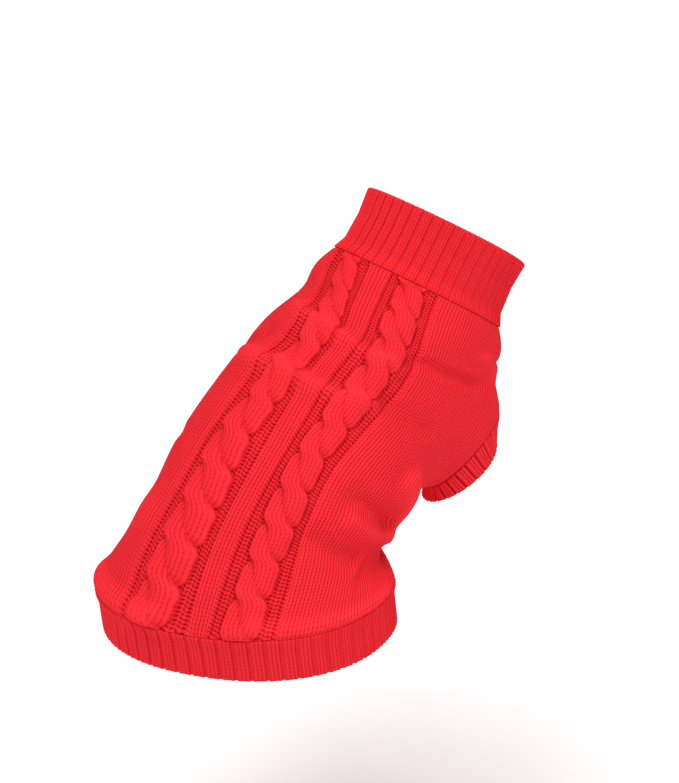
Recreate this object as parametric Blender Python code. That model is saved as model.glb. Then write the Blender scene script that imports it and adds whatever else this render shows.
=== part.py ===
"""Cable-knit pullover for a small dog, in the hollow form it takes on a sitting wearer.

Six knitted pieces, each one closed solid: back panel, belly panel, hem band, collar and two cuffs.
Sizes are millimetres and degrees; only the finished meshes are in metres. +Z is up, the wearer
faces +Y and has its right side at +X. The origin is where the cloth rests on the withers.

A place on the body cloth has two names:
    across  millimetres round the cloth from the middle of the back, + to the wearer's right
    along   share of the way from the hem seam (0) to the neck seam (1)
"""

import math
from typing import NamedTuple

import bmesh
import bpy
import numpy as np

METRES_PER_MM = 0.001

PANEL_WALL = 2.4
RIB_WALL = 2.8
SEAM_GAP = 0.4
DIFFERENCE_STEP = 0.5
ROUNDING_MARGIN = 1e-6
HALF_TURN = np.linspace(0.0, math.pi, 121)


class Section(NamedTuple):
    """One ring of the body tube: its centre, its tilt and its half sizes."""

    name: str
    along: float
    sideways: float
    forward: float
    up: float
    pitch: float
    roll: float
    half_width: float
    back_depth: float
    belly_depth: float


SECTIONS = (
    Section("hem seam", 0.00, -1.5, 0.0, 58.0, 94.0, -4.5, 76.0, 58.0, 50.0),
    Section("rump", 0.12, -1.5, 18.0, 78.0, 82.0, 1.0, 60.5, 54.0, 46.0),
    Section("loin", 0.30, 4.5, 53.0, 98.5, 59.0, 6.0, 62.5, 57.0, 50.0),
    Section("last ribs", 0.50, 5.5, 96.0, 119.0, 51.5, 9.5, 55.5, 60.0, 57.0),
    Section("behind the elbows", 0.70, 12.0, 133.0, 136.0, 52.0, 12.5, 50.5, 58.0, 60.0),
    Section("shoulders", 0.88, 13.0, 154.0, 149.0, 57.0, 14.5, 51.5, 52.0, 54.0),
    Section("neck seam", 1.00, 14.5, 161.0, 158.5, 60.0, 16.0, 46.0, 47.0, 49.0),
)
SECTION_SQUARENESS = 2.2
BODY_LENGTH = 205.0


class ArmHole(NamedTuple):
    """The round gap in both side seams, right side; the left one is its mirror."""

    along: float
    half_along: float
    half_across: float
    reach_to_back: float
    reach_to_belly: float
    flare: float
    rise: float


ARM_HOLE = ArmHole(
    along=0.51,
    half_along=0.13,
    half_across=24.0,
    reach_to_back=3.4,
    reach_to_belly=1.9,
    flare=0.8,
    rise=20.0,
)


class Ring(NamedTuple):
    """A sewn or free edge of the right sleeve, placed from the section at the arm hole.

    centre and axis run to the wearer's right, to the back and to the neck.
    """

    centre: tuple
    axis: tuple
    half_across: float
    half_along: float


CUFF_SEAM = Ring((55.5, -42.5, 2.5), (0.79, -0.55, -0.28), 22.5, 25.0)
CUFF_EDGE = Ring((55.0, -50.5, -9.0), (0.58, -0.71, -0.40), 20.5, 22.5)

# The side seams start and end at the first share of the half girth and swell to the second.
SEAM_SHARE_AT_ENDS = 0.66
SEAM_SHARE_SWELL = 0.08

HEM_BAND_HEIGHT = 23.0
HEM_BAND_INSET = 1.5
COLLAR_HEIGHT = 36.0


class BandStep(NamedTuple):
    """One ring of a band: its distance from the seam and how far it is drawn in there."""

    from_seam: float
    inset: float


HEM_BAND_STEPS = (
    BandStep(SEAM_GAP, 0.0),
    BandStep(5.75, HEM_BAND_INSET),
    BandStep(15.0, HEM_BAND_INSET),
    BandStep(HEM_BAND_HEIGHT, HEM_BAND_INSET),
)
COLLAR_STEPS = (
    BandStep(SEAM_GAP, 0.0),
    BandStep(7.2, 3.2),
    BandStep(21.6, 4.0),
    BandStep(COLLAR_HEIGHT, 2.8),
)
CUFF_ROW_SHARES = (0.0, 0.5, 1.0)


class PatternRow(NamedTuple):
    """How far across the lines of the cable pattern are at one along, from left to right."""

    along: float
    left_side: float
    left_cable_outer: float
    left_cable_inner: float
    column_left: float
    column_right: float
    right_cable_inner: float
    right_cable_outer: float
    right_side: float


PATTERN_ROWS = (
    PatternRow(0.00, -41.0, -35.5, -13.5, 0.5, 10.0, 16.5, 35.5, 44.5),
    PatternRow(0.10, -40.0, -30.5, -6.5, 0.6, 10.5, 19.3, 35.5, 43.5),
    PatternRow(0.20, -35.0, -28.0, -5.3, 0.3, 10.0, 17.5, 34.0, 38.5),
    PatternRow(0.30, -33.8, -28.8, -9.0, 0.2, 9.8, 15.0, 30.2, 36.0),
    PatternRow(0.40, -31.0, -22.5, -5.0, 0.2, 10.0, 17.5, 33.5, 40.5),
    PatternRow(0.50, -29.5, -18.0, -2.8, 1.3, 9.8, 19.5, 35.2, 45.0),
    PatternRow(0.60, -29.5, -19.0, -2.5, 0.3, 9.0, 17.5, 33.0, 41.8),
    PatternRow(0.70, -33.0, -24.4, -10.5, -6.5, 3.5, 10.5, 27.0, 34.0),
    PatternRow(0.85, -39.0, -29.5, -16.5, -11.0, -0.5, 7.0, 21.5, 28.5),
    PatternRow(1.00, -44.0, -34.0, -21.0, -13.5, -2.0, 3.0, 18.0, 26.0),
)


class PatternLine(NamedTuple):
    """A line of the left half of the cable pattern, which the right half mirrors.

    place counts the lines of PATTERN_ROWS: 1.5 is half way from the second to the third.
    """

    name: str
    place: float
    height: float


PATTERN_LINES = (
    PatternLine("edge of the plain side", 0.0, 0.0),
    PatternLine("outer gutter", 0.5, -0.9),
    PatternLine("outer foot of the cable", 1.0, -0.9),
    PatternLine("outer shoulder of the cable", 1.2, 1.2),
    PatternLine("crown of the cable", 1.5, 2.0),
    PatternLine("inner shoulder of the cable", 1.8, 1.2),
    PatternLine("inner foot of the cable", 2.0, -0.9),
    PatternLine("inner gutter", 2.5, -0.9),
    PatternLine("edge of the plain column", 3.0, 0.0),
)
LAST_PATTERN_PLACE = 7.0


class Fold(NamedTuple):
    """A soft ridge (+) or trough (-) from one place on the cloth to another."""

    name: str
    side: str
    from_across: float
    from_along: float
    to_across: float
    to_along: float
    height: float
    half_width: float


FOLDS = (
    Fold("roll over the hem band, left", "left", 20.0, 0.016, 84.0, 0.014, 2.6, 5.5),
    Fold("roll over the hem band, right", "right", 30.0, 0.016, 108.0, 0.014, 2.4, 5.5),
    Fold("wave on the left flank", "left", 50.0, 0.150, 95.0, 0.110, 1.6, 12.0),
    Fold("ridge over the left shoulder", "left", 0.0, 0.590, 56.0, 0.672, 2.8, 9.0),
    Fold("ridge over the right shoulder", "right", 0.0, 0.590, 34.0, 0.575, 2.0, 8.0),
    Fold("ridge over the loin, left", "left", 0.0, 0.455, 46.0, 0.482, 3.2, 8.5),
    Fold("ridge over the loin, right", "right", 0.0, 0.445, 38.0, 0.460, 2.6, 8.0),
    Fold("trough between the ridges, left", "left", 12.0, 0.530, 50.0, 0.560, -1.6, 9.0),
    Fold("trough below the nape, right", "right", 40.0, 0.637, 85.0, 0.654, -2.2, 9.0),
    Fold("trough over the right sleeve", "right", 42.0, 0.482, 72.0, 0.458, -2.2, 9.0),
    Fold("ridge below the right sleeve", "right", 80.0, 0.322, 106.0, 0.245, 4.0, 12.5),
    Fold("trough below the right sleeve", "right", 52.0, 0.270, 88.0, 0.212, -3.2, 9.0),
    Fold("ridge on the right flank", "right", 58.0, 0.225, 101.0, 0.152, 2.4, 9.0),
    Fold("ridge behind the right sleeve", "right", 98.0, 0.200, 118.0, 0.150, 2.2, 12.0),
    Fold("trough on the right flank", "right", 42.0, 0.180, 74.0, 0.118, -2.2, 8.0),
    Fold("tuck above the hem band, right", "right", 86.0, 0.085, 122.0, 0.065, -3.2, 10.0),
    Fold("trough over the left sleeve", "left", 44.0, 0.550, 72.0, 0.510, -1.8, 10.0),
    Fold("ridge below the left sleeve", "left", 86.0, 0.330, 112.0, 0.250, 2.8, 12.0),
    Fold("trough below the left sleeve", "left", 88.0, 0.235, 118.0, 0.200, -2.0, 9.0),
    Fold("tuck above the hem band, left", "left", 102.0, 0.085, 134.0, 0.070, -2.4, 9.0),
    Fold("trough between the sleeves", "both", 160.0, 0.500, 190.0, 0.470, -1.6, 10.0),
    Fold("wave under the belly", "both", 150.0, 0.240, 200.0, 0.200, 1.6, 11.0),
)
FOLD_FADE = 0.01
PATTERN_FADE = 0.04

SEAM_ROWS_BELOW_HOLE = 13
HEM_ROW_CROWDING = 1.35
SEAM_ROWS_AT_HOLE = 11
SEAM_ROWS_ABOVE_HOLE = 12
PLAIN_COLUMNS = 9
BELLY_COLUMNS = 12
BAND_COLUMNS = 56
COLLAR_COLUMNS = 44
CUFF_COLUMNS = 28
WITHERS_ALONG = 0.80

RED_YARN = (0.78, 0.018, 0.028, 1.0)
YARN_ROUGHNESS = 0.9


def unit(vector):
    """The vector or vectors at length one."""
    vector = np.asarray(vector, float)
    return vector / np.linalg.norm(vector, axis=-1, keepdims=True)


def smooth_step(share):
    """0 to 1 with flat ends."""
    share = np.clip(share, 0.0, 1.0)
    return share * share * (3.0 - 2.0 * share)


def through_rows(rows, along):
    """The columns after along of a table's rows, by a cubic through them."""
    table = np.array(rows)
    at, values = table[:, 0], table[:, 1:]
    slopes = np.gradient(values, at, axis=0)
    along = np.asarray(along, float)
    index = np.clip(np.searchsorted(at, along, side="right") - 1, 0, len(at) - 2)
    step = (at[index + 1] - at[index])[..., None]
    t = (along - at[index])[..., None] / step
    from_start = (2 * t**3 - 3 * t**2 + 1) * values[index] + (t**3 - 2 * t**2 + t) * step * slopes[index]
    from_end = (3 * t**2 - 2 * t**3) * values[index + 1] + (t**3 - t**2) * step * slopes[index + 1]
    return from_start + from_end


def section_at(along):
    """The columns of SECTIONS after along."""
    return through_rows([row[1:] for row in SECTIONS], along)


def section_centre(along):
    """The middle of a section."""
    return section_at(along)[..., :3]


def section_axes(along):
    """A section's directions to the wearer's right, to the back and to the neck, as rows."""
    pitch, roll = np.moveaxis(np.radians(section_at(along)[..., 3:5]), -1, 0)
    level = np.zeros_like(pitch)
    right = (np.cos(roll), level, -np.sin(roll))
    back = (np.cos(pitch) * np.sin(roll), -np.sin(pitch), np.cos(pitch) * np.cos(roll))
    neck = (np.sin(pitch) * np.sin(roll), np.cos(pitch), np.sin(pitch) * np.cos(roll))
    return np.stack([np.stack(way, axis=-1) for way in (right, back, neck)], axis=-2)


def ring_point(along, turn):
    """A point of the plain body tube; turn is the angle round it from the middle of the back."""
    half_width, back_depth, belly_depth = np.moveaxis(section_at(along)[..., 5:], -1, 0)
    sine, cosine = np.sin(turn), np.cos(turn)
    power = SECTION_SQUARENESS
    swell = (np.abs(sine) ** power + np.abs(cosine) ** power) ** (-1.0 / power)
    depth = np.where(cosine > 0.0, back_depth, belly_depth)
    axes = section_axes(along)
    width_way = (half_width * sine * swell)[..., None] * axes[..., 0, :]
    return section_centre(along) + width_way + (depth * cosine * swell)[..., None] * axes[..., 1, :]


def girth_so_far(along):
    """For each along, the distance round the tube at every angle of HALF_TURN."""
    along = np.atleast_1d(along)
    points = ring_point(along[:, None], HALF_TURN[None, :])
    steps = np.linalg.norm(np.diff(points, axis=1), axis=2)
    return np.concatenate([np.zeros((len(points), 1)), np.cumsum(steps, axis=1)], axis=1)


def half_girth(along):
    """From the middle of the back to the middle of the belly."""
    return girth_so_far(along)[:, -1]


def side_seam(along):
    """How far across the side seam is, with no arm hole."""
    swell = np.sin(math.pi * np.clip(along, 0.0, 1.0)) ** 2
    return (SEAM_SHARE_AT_ENDS + SEAM_SHARE_SWELL * swell) * half_girth(along)


def ring_axes(ring):
    """The ring's outward axis, its way to the belly and its way to the neck, in its section's terms."""
    axis = unit(ring.axis)
    to_neck = np.array([0.0, 0.0, 1.0])
    along_way = unit(to_neck - (to_neck @ axis) * axis)
    return axis, np.cross(axis, along_way), along_way


def from_arm_section(places, side):
    """Places given from the section at the arm hole, on the right (1) or mirrored to the left (-1)."""
    mirrored = places * np.stack([side, np.ones_like(side), np.ones_like(side)], axis=-1)
    return section_centre(ARM_HOLE.along) + mirrored @ section_axes(ARM_HOLE.along)


def sleeve_mouth(across_share, along_share, beyond):
    """A point of the sleeve's flare: the cuff seam spread out and moved back towards the body."""
    axis, across_way, along_way = ring_axes(CUFF_SEAM)
    spread = 1.0 + ARM_HOLE.flare * beyond
    by_across = (CUFF_SEAM.half_across * across_share * spread)[..., None] * across_way
    by_along = (CUFF_SEAM.half_along * along_share * spread)[..., None] * along_way
    return np.array(CUFF_SEAM.centre) + by_across + by_along - (ARM_HOLE.rise * beyond)[..., None] * axis


def body_point(across, along):
    """The body form: the plain tube, drawn out to the cuff seams round the arm holes."""
    arcs = girth_so_far(along[:, 0])
    turns = [np.interp(np.abs(row), arc, HALF_TURN) for row, arc in zip(across, arcs)]
    side = np.where(across < 0.0, -1.0, 1.0)
    tube = ring_point(along, np.array(turns) * side)
    across_share = (np.abs(across) - side_seam(along[:, 0])[:, None]) / ARM_HOLE.half_across
    along_share = (along - ARM_HOLE.along) / ARM_HOLE.half_along
    distance = np.maximum(np.hypot(across_share, along_share), ROUNDING_MARGIN)
    beyond = np.maximum(distance - 1.0, 0.0)
    mouth = sleeve_mouth(across_share / distance, along_share / distance, beyond)
    mouth = from_arm_section(mouth, side)
    to_belly = 0.5 + 0.5 * across_share / distance
    reach = ARM_HOLE.reach_to_back + (ARM_HOLE.reach_to_belly - ARM_HOLE.reach_to_back) * to_belly
    drawn_out = 1.0 - smooth_step(beyond / (reach - 1.0))
    return tube + drawn_out[..., None] * (mouth - tube)


def surface_normal(surface, across, along):
    """The outward normal of a surface, from differences between near points."""
    step_along = DIFFERENCE_STEP / BODY_LENGTH
    by_across = surface(across + DIFFERENCE_STEP, along) - surface(across - DIFFERENCE_STEP, along)
    by_along = surface(across, along + step_along) - surface(across, along - step_along)
    return unit(np.cross(by_across, by_along))


def pattern_across(along):
    """How far across each line of the pattern is at each along, and the lines' heights."""
    places = [line.place for line in PATTERN_LINES]
    places += [LAST_PATTERN_PLACE - place for place in reversed(places)]
    heights = [line.height for line in PATTERN_LINES]
    rows = through_rows(PATTERN_ROWS, along)
    columns = np.arange(rows.shape[-1])
    return np.array([np.interp(places, columns, row) for row in rows]), heights + heights[::-1]


def fold_height(fold, across, along):
    """The fold's height at each place, with a rounded section and rounded ends."""
    side = {"left": -across, "right": across, "both": np.abs(across)}[fold.side]
    place = np.stack([side, along * BODY_LENGTH], axis=-1)
    start = np.array([fold.from_across, fold.from_along * BODY_LENGTH])
    run = np.array([fold.to_across, fold.to_along * BODY_LENGTH]) - start
    share = np.clip((place - start) @ run / (run @ run), 0.0, 1.0)
    distance = np.linalg.norm(place - start - share[..., None] * run, axis=-1)
    return fold.height * (1.0 - smooth_step(distance / fold.half_width))


def fading(along, reach):
    """1 on the cloth, and down to 0 at the hem and neck seams."""
    return smooth_step(np.minimum(along, 1.0 - along) / reach)


def relief_height(across, along):
    """Cables, gutters and folds; every row of across has one along."""
    lines, heights = pattern_across(along[:, 0])
    pattern = np.array([np.interp(row, places, heights) for row, places in zip(across, lines)])
    folds = sum(fold_height(fold, across, along) for fold in FOLDS)
    return pattern * fading(along, PATTERN_FADE) + folds * fading(along, FOLD_FADE)


def cloth_point(across, along):
    """The middle of the cloth, with its relief."""
    normal = surface_normal(body_point, across, along)
    return body_point(across, along) + relief_height(across, along)[..., None] * normal


def in_plane(normals, axis):
    """Normals laid into the plane of an edge, so that sewn edges face each other squarely."""
    axis = unit(axis)
    return unit(normals - (normals @ axis)[..., None] * axis)


def seam_rows():
    """The alongs of the panel rows, closer together at the hem and at the arm hole's ends."""
    below = np.linspace(0.0, 1.0, SEAM_ROWS_BELOW_HOLE) ** HEM_ROW_CROWDING
    below = below * (ARM_HOLE.along - ARM_HOLE.half_along)
    turn = np.linspace(0.0, math.pi, SEAM_ROWS_AT_HOLE)
    beside = ARM_HOLE.along - ARM_HOLE.half_along * np.cos(turn)
    above = np.linspace(ARM_HOLE.along + ARM_HOLE.half_along, 1.0, SEAM_ROWS_ABOVE_HOLE)
    return np.concatenate([below[:-1], beside, above[1:]])


def hole_inset(along):
    """How far the arm hole takes each panel's edge back from the side seam."""
    share = np.clip(1.0 - ((along - ARM_HOLE.along) / ARM_HOLE.half_along) ** 2, 0.0, 1.0)
    return ARM_HOLE.half_across * np.sqrt(share)


def back_grid():
    """across and along for the back panel, with a column on every line of the pattern."""
    along = seam_rows()
    edge = side_seam(along) - hole_inset(along) - SEAM_GAP / 2
    pattern, _ = pattern_across(along)
    shares = np.linspace(0.0, 1.0, PLAIN_COLUMNS + 1)[1:]
    right = pattern[:, -1:] + (edge[:, None] - pattern[:, -1:]) * shares
    left = pattern[:, :1] - (edge[:, None] + pattern[:, :1]) * shares
    across = np.concatenate([left[:, ::-1], pattern, right], axis=1)
    return across, np.repeat(along[:, None], across.shape[1], axis=1)


def belly_grid():
    """across and along for the belly panel; across passes half the girth in the middle."""
    along = seam_rows()
    whole = half_girth(along)
    width = whole - side_seam(along) - hole_inset(along) - SEAM_GAP / 2
    shares = np.linspace(-1.0, 1.0, BELLY_COLUMNS + 1)
    across = whole[:, None] + width[:, None] * shares
    return across, np.repeat(along[:, None], across.shape[1], axis=1)


def wrapped(across, along):
    """across beyond the middle of the belly, counted from the other side."""
    whole = half_girth(along[:, 0])[:, None]
    return np.where(across > whole, across - 2.0 * whole, across)


def belly_point(across, along):
    """cloth_point where across may pass the middle of the belly."""
    return cloth_point(wrapped(across, along), along)


def squared_normals(normals, along, sides):
    """Panel normals with the hem, neck and arm hole edges squared; sides is -1 or 1 for each edge."""
    normals = normals.copy()
    normals[0] = in_plane(normals[0], section_axes(0.0)[2])
    normals[-1] = in_plane(normals[-1], section_axes(1.0)[2])
    beside_hole = np.abs(along[:, 0] - ARM_HOLE.along) < ARM_HOLE.half_along + ROUNDING_MARGIN
    for column, side in zip((0, -1), sides):
        axis = unit(CUFF_SEAM.axis) * (side, 1.0, 1.0) @ section_axes(ARM_HOLE.along)
        normals[beside_hole, column] = in_plane(normals[beside_hole, column], axis)
    return normals


def withers():
    """Where the back panel's inner face rests on the wearer."""
    across, along = np.array([[0.0]]), np.array([[WITHERS_ALONG]])
    normal = surface_normal(body_point, across, along)
    return (body_point(across, along) - normal * PANEL_WALL / 2)[0, 0]


def quad_strip(first, second):
    """Quads between two equal runs of vertex numbers."""
    return [(a, b, c, d) for a, b, c, d in zip(first[:-1], first[1:], second[1:], second[:-1])]


def side_edge(inner, outer):
    """Triangles that close a side edge, split alike on the two panels that meet there."""
    quads = quad_strip(inner, outer)
    return [(a, b, c) for a, b, c, d in quads] + [(a, c, d) for a, b, c, d in quads]


def shell_faces(rows, columns, closed):
    """Faces of a shell whose outer vertices come first, row by row, and then its inner ones."""
    outer = np.arange(rows * columns).reshape(rows, columns)
    if closed:
        outer = np.concatenate([outer, outer[:, :1]], axis=1)
    inner = outer + rows * columns
    faces = []
    for row in range(rows - 1):
        faces += quad_strip(outer[row], outer[row + 1])
        faces += quad_strip(inner[row + 1], inner[row])
    faces += quad_strip(inner[0], outer[0])
    faces += quad_strip(outer[-1], inner[-1])
    if not closed:
        faces += side_edge(inner[:, 0], outer[:, 0])
        faces += side_edge(inner[:, -1], outer[:, -1])
    return faces


def yarn(name):
    """The piece's own material."""
    material = bpy.data.materials.new(name)
    material.use_nodes = True
    shader = material.node_tree.nodes["Principled BSDF"]
    shader.inputs["Base Color"].default_value = RED_YARN
    shader.inputs["Roughness"].default_value = YARN_ROUGHNESS
    return material


def add_shell(name, middle, normals, wall, closed):
    """A closed solid of cloth: half its wall on each side of the middle points."""
    offset = normals * wall / 2
    points = np.concatenate([(middle + offset).reshape(-1, 3), (middle - offset).reshape(-1, 3)])
    points = (points - withers()) * METRES_PER_MM
    faces = shell_faces(middle.shape[0], middle.shape[1], closed)
    mesh = bpy.data.meshes.new(name)
    mesh.from_pydata(points.tolist(), [], [[int(number) for number in face] for face in faces])
    solid = bmesh.new()
    solid.from_mesh(mesh)
    bmesh.ops.recalc_face_normals(solid, faces=solid.faces)
    solid.to_mesh(mesh)
    solid.free()
    mesh.materials.append(yarn(name))
    bpy.context.scene.collection.objects.link(bpy.data.objects.new(name, mesh))


def add_panels():
    """The back and belly panels."""
    across, along = back_grid()
    normals = squared_normals(surface_normal(cloth_point, across, along), along, (-1.0, 1.0))
    add_shell("back_panel", cloth_point(across, along), normals, PANEL_WALL, False)
    across, along = belly_grid()
    normals = squared_normals(surface_normal(belly_point, across, along), along, (1.0, -1.0))
    add_shell("belly_panel", belly_point(across, along), normals, PANEL_WALL, False)


def add_band(name, along, direction, columns, steps):
    """A ribbed tube on an end section of the body: direction is 1 towards the neck and -1 away."""
    turn = np.linspace(0.0, 2.0 * math.pi, columns, endpoint=False)
    ring = ring_point(np.full(columns, along), turn)
    axis = section_axes(along)[2] * direction
    outward = in_plane(ring - section_centre(along), axis)
    rows = np.array([ring + axis * step.from_seam - outward * step.inset for step in steps])
    add_shell(name, rows, np.broadcast_to(outward, rows.shape), RIB_WALL, True)


def cuff_row(ring, turn, gap, side):
    """One ring of a cuff and its outward directions."""
    axis, across_way, along_way = ring_axes(ring)
    by_across = np.sin(turn)[:, None] * across_way
    by_along = np.cos(turn)[:, None] * along_way
    points = np.array(ring.centre) + axis * gap + ring.half_across * by_across + ring.half_along * by_along
    outward = unit(by_across / ring.half_across + by_along / ring.half_along)
    sides = np.full(len(turn), side)
    placed = from_arm_section(points, sides)
    return placed, unit(from_arm_section(points + outward, sides) - placed)


def add_cuffs():
    """The ribbed cuffs, right and then its mirror."""
    turn = np.linspace(0.0, 2.0 * math.pi, CUFF_COLUMNS, endpoint=False)
    shares = np.array(CUFF_ROW_SHARES)[:, None, None]
    for name, side in (("cuff_right", 1.0), ("cuff_left", -1.0)):
        seam, seam_way = cuff_row(CUFF_SEAM, turn, SEAM_GAP, side)
        edge, edge_way = cuff_row(CUFF_EDGE, turn, 0.0, side)
        outward = unit(seam_way + (edge_way - seam_way) * shares)
        add_shell(name, seam + (edge - seam) * shares, outward, RIB_WALL, True)


def build():
    """Clear the file and make every piece."""
    for old in list(bpy.data.objects):
        bpy.data.objects.remove(old)
    add_panels()
    add_band("hem_band", 0.0, -1.0, BAND_COLUMNS, HEM_BAND_STEPS)
    add_band("collar", 1.0, 1.0, COLLAR_COLUMNS, COLLAR_STEPS)
    add_cuffs()


build()
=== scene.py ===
"""Looks of the cable-knit dog sweater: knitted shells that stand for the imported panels, bands and cuffs.

Sizes are millimetres and degrees until a mesh is made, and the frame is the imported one: +Z up, the
wearer faces +Y, its right side is at +X, and the origin is where the cloth rests on the withers.

A place on the body cloth has two names, as in the part's source:
    across  millimetres round the cloth from the middle of the back, + to the wearer's right
    along   share of the way from the hem seam (0) to the neck seam (1)
A place in the knitting has two more, which are the UV map:
    wales    columns of stitches, counted from the middle of the pattern
    courses  rows of stitches, counted from the hem
"""

import math
from typing import NamedTuple

import bpy
import numpy as np
from mathutils import Matrix


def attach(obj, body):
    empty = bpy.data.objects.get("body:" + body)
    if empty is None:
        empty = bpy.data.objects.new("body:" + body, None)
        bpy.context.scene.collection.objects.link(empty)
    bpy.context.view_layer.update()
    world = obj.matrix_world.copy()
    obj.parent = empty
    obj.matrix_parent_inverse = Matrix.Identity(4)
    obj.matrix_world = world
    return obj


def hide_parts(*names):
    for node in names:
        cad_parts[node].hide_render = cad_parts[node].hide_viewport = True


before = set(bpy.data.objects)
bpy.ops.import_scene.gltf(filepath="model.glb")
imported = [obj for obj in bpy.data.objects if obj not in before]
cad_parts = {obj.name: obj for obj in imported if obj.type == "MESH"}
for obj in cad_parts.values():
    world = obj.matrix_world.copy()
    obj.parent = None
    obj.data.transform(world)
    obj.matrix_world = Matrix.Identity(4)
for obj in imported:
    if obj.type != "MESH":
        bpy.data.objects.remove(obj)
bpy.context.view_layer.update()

METRES_PER_MM = 0.001

# The form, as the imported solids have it.

PANEL_WALL = 2.4
RIB_WALL = 2.8
DIFFERENCE_STEP = 0.5
LEAST_DISTANCE = 1e-6
TURN_SAMPLES = 121
ALONG_SAMPLES = 401
HALF_TURN = np.linspace(0.0, math.pi, TURN_SAMPLES)
FINE_ALONG = np.linspace(0.0, 1.0, ALONG_SAMPLES)


class Section(NamedTuple):
    """One ring of the body tube: its centre, its tilt and its half sizes."""

    name: str
    along: float
    sideways: float
    forward: float
    up: float
    pitch: float
    roll: float
    half_width: float
    back_depth: float
    belly_depth: float


SECTIONS = (
    Section("hem seam", 0.00, -1.5, 0.0, 58.0, 94.0, -4.5, 76.0, 58.0, 50.0),
    Section("rump", 0.12, -1.5, 18.0, 78.0, 82.0, 1.0, 60.5, 54.0, 46.0),
    Section("loin", 0.30, 4.5, 53.0, 98.5, 59.0, 6.0, 62.5, 57.0, 50.0),
    Section("last ribs", 0.50, 5.5, 96.0, 119.0, 51.5, 9.5, 55.5, 60.0, 57.0),
    Section("behind the elbows", 0.70, 12.0, 133.0, 136.0, 52.0, 12.5, 50.5, 58.0, 60.0),
    Section("shoulders", 0.88, 13.0, 154.0, 149.0, 57.0, 14.5, 51.5, 52.0, 54.0),
    Section("neck seam", 1.00, 14.5, 161.0, 158.5, 60.0, 16.0, 46.0, 47.0, 49.0),
)
SECTION_SQUARENESS = 2.2
BODY_LENGTH = 205.0
WITHERS_ALONG = 0.80


class ArmHole(NamedTuple):
    """The round gap in both side seams, right side; the left one is its mirror."""

    along: float
    half_along: float
    half_across: float
    reach_to_back: float
    reach_to_belly: float
    flare: float
    rise: float


ARM_HOLE = ArmHole(
    along=0.51,
    half_along=0.13,
    half_across=24.0,
    reach_to_back=3.4,
    reach_to_belly=1.9,
    flare=0.8,
    rise=20.0,
)


class Ring(NamedTuple):
    """A sewn or free edge of the right sleeve, placed from the section at the arm hole.

    centre and axis run to the wearer's right, to the back and to the neck.
    """

    centre: tuple
    axis: tuple
    half_across: float
    half_along: float


CUFF_SEAM = Ring((55.5, -42.5, 2.5), (0.79, -0.55, -0.28), 22.5, 25.0)
CUFF_EDGE = Ring((55.0, -50.5, -9.0), (0.58, -0.71, -0.40), 20.5, 22.5)

# The side seams start and end at the first share of the half girth and swell out by the second.
SEAM_SHARE_AT_ENDS = 0.66
SEAM_SHARE_SWELL = 0.08


class Fold(NamedTuple):
    """A soft ridge (+) or trough (-) from one place on the cloth to another."""

    name: str
    side: str
    from_across: float
    from_along: float
    to_across: float
    to_along: float
    height: float
    half_width: float


FOLDS = (
    Fold("roll over the hem band, left", "left", 20.0, 0.016, 84.0, 0.014, 2.6, 5.5),
    Fold("roll over the hem band, right", "right", 30.0, 0.016, 108.0, 0.014, 2.4, 5.5),
    Fold("wave on the left flank", "left", 50.0, 0.150, 95.0, 0.110, 1.6, 12.0),
    Fold("ridge over the left shoulder", "left", 0.0, 0.590, 40.0, 0.646, 2.6, 9.0),
    Fold("ridge over the right shoulder", "right", 0.0, 0.590, 34.0, 0.575, 2.0, 8.0),
    Fold("ridge over the loin, left", "left", 0.0, 0.455, 46.0, 0.482, 3.2, 8.5),
    Fold("ridge over the loin, right", "right", 0.0, 0.445, 38.0, 0.460, 2.6, 8.0),
    Fold("trough between the ridges, left", "left", 12.0, 0.530, 50.0, 0.560, -1.6, 9.0),
    Fold("trough below the nape, right", "right", 40.0, 0.637, 85.0, 0.654, -2.2, 9.0),
    Fold("trough over the right sleeve", "right", 42.0, 0.482, 72.0, 0.458, -2.2, 9.0),
    Fold("ridge below the right sleeve", "right", 80.0, 0.322, 106.0, 0.245, 4.0, 12.5),
    Fold("trough below the right sleeve", "right", 52.0, 0.270, 88.0, 0.212, -3.2, 9.0),
    Fold("ridge on the right flank", "right", 58.0, 0.225, 101.0, 0.152, 2.4, 9.0),
    Fold("ridge behind the right sleeve", "right", 98.0, 0.200, 118.0, 0.150, 2.2, 12.0),
    Fold("trough on the right flank", "right", 42.0, 0.180, 74.0, 0.118, -2.2, 8.0),
    Fold("tuck above the hem band, right", "right", 86.0, 0.085, 122.0, 0.065, -3.2, 10.0),
    Fold("trough over the left sleeve", "left", 44.0, 0.550, 72.0, 0.510, -1.8, 10.0),
    Fold("ridge below the left sleeve", "left", 86.0, 0.330, 112.0, 0.250, 2.8, 12.0),
    Fold("trough below the left sleeve", "left", 88.0, 0.235, 118.0, 0.200, -2.0, 9.0),
    Fold("tuck above the hem band, left", "left", 102.0, 0.085, 134.0, 0.070, -2.4, 9.0),
    Fold("trough between the sleeves", "both", 160.0, 0.500, 190.0, 0.470, -1.6, 10.0),
    Fold("wave under the belly", "both", 150.0, 0.240, 200.0, 0.200, 1.6, 11.0),
)

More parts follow.
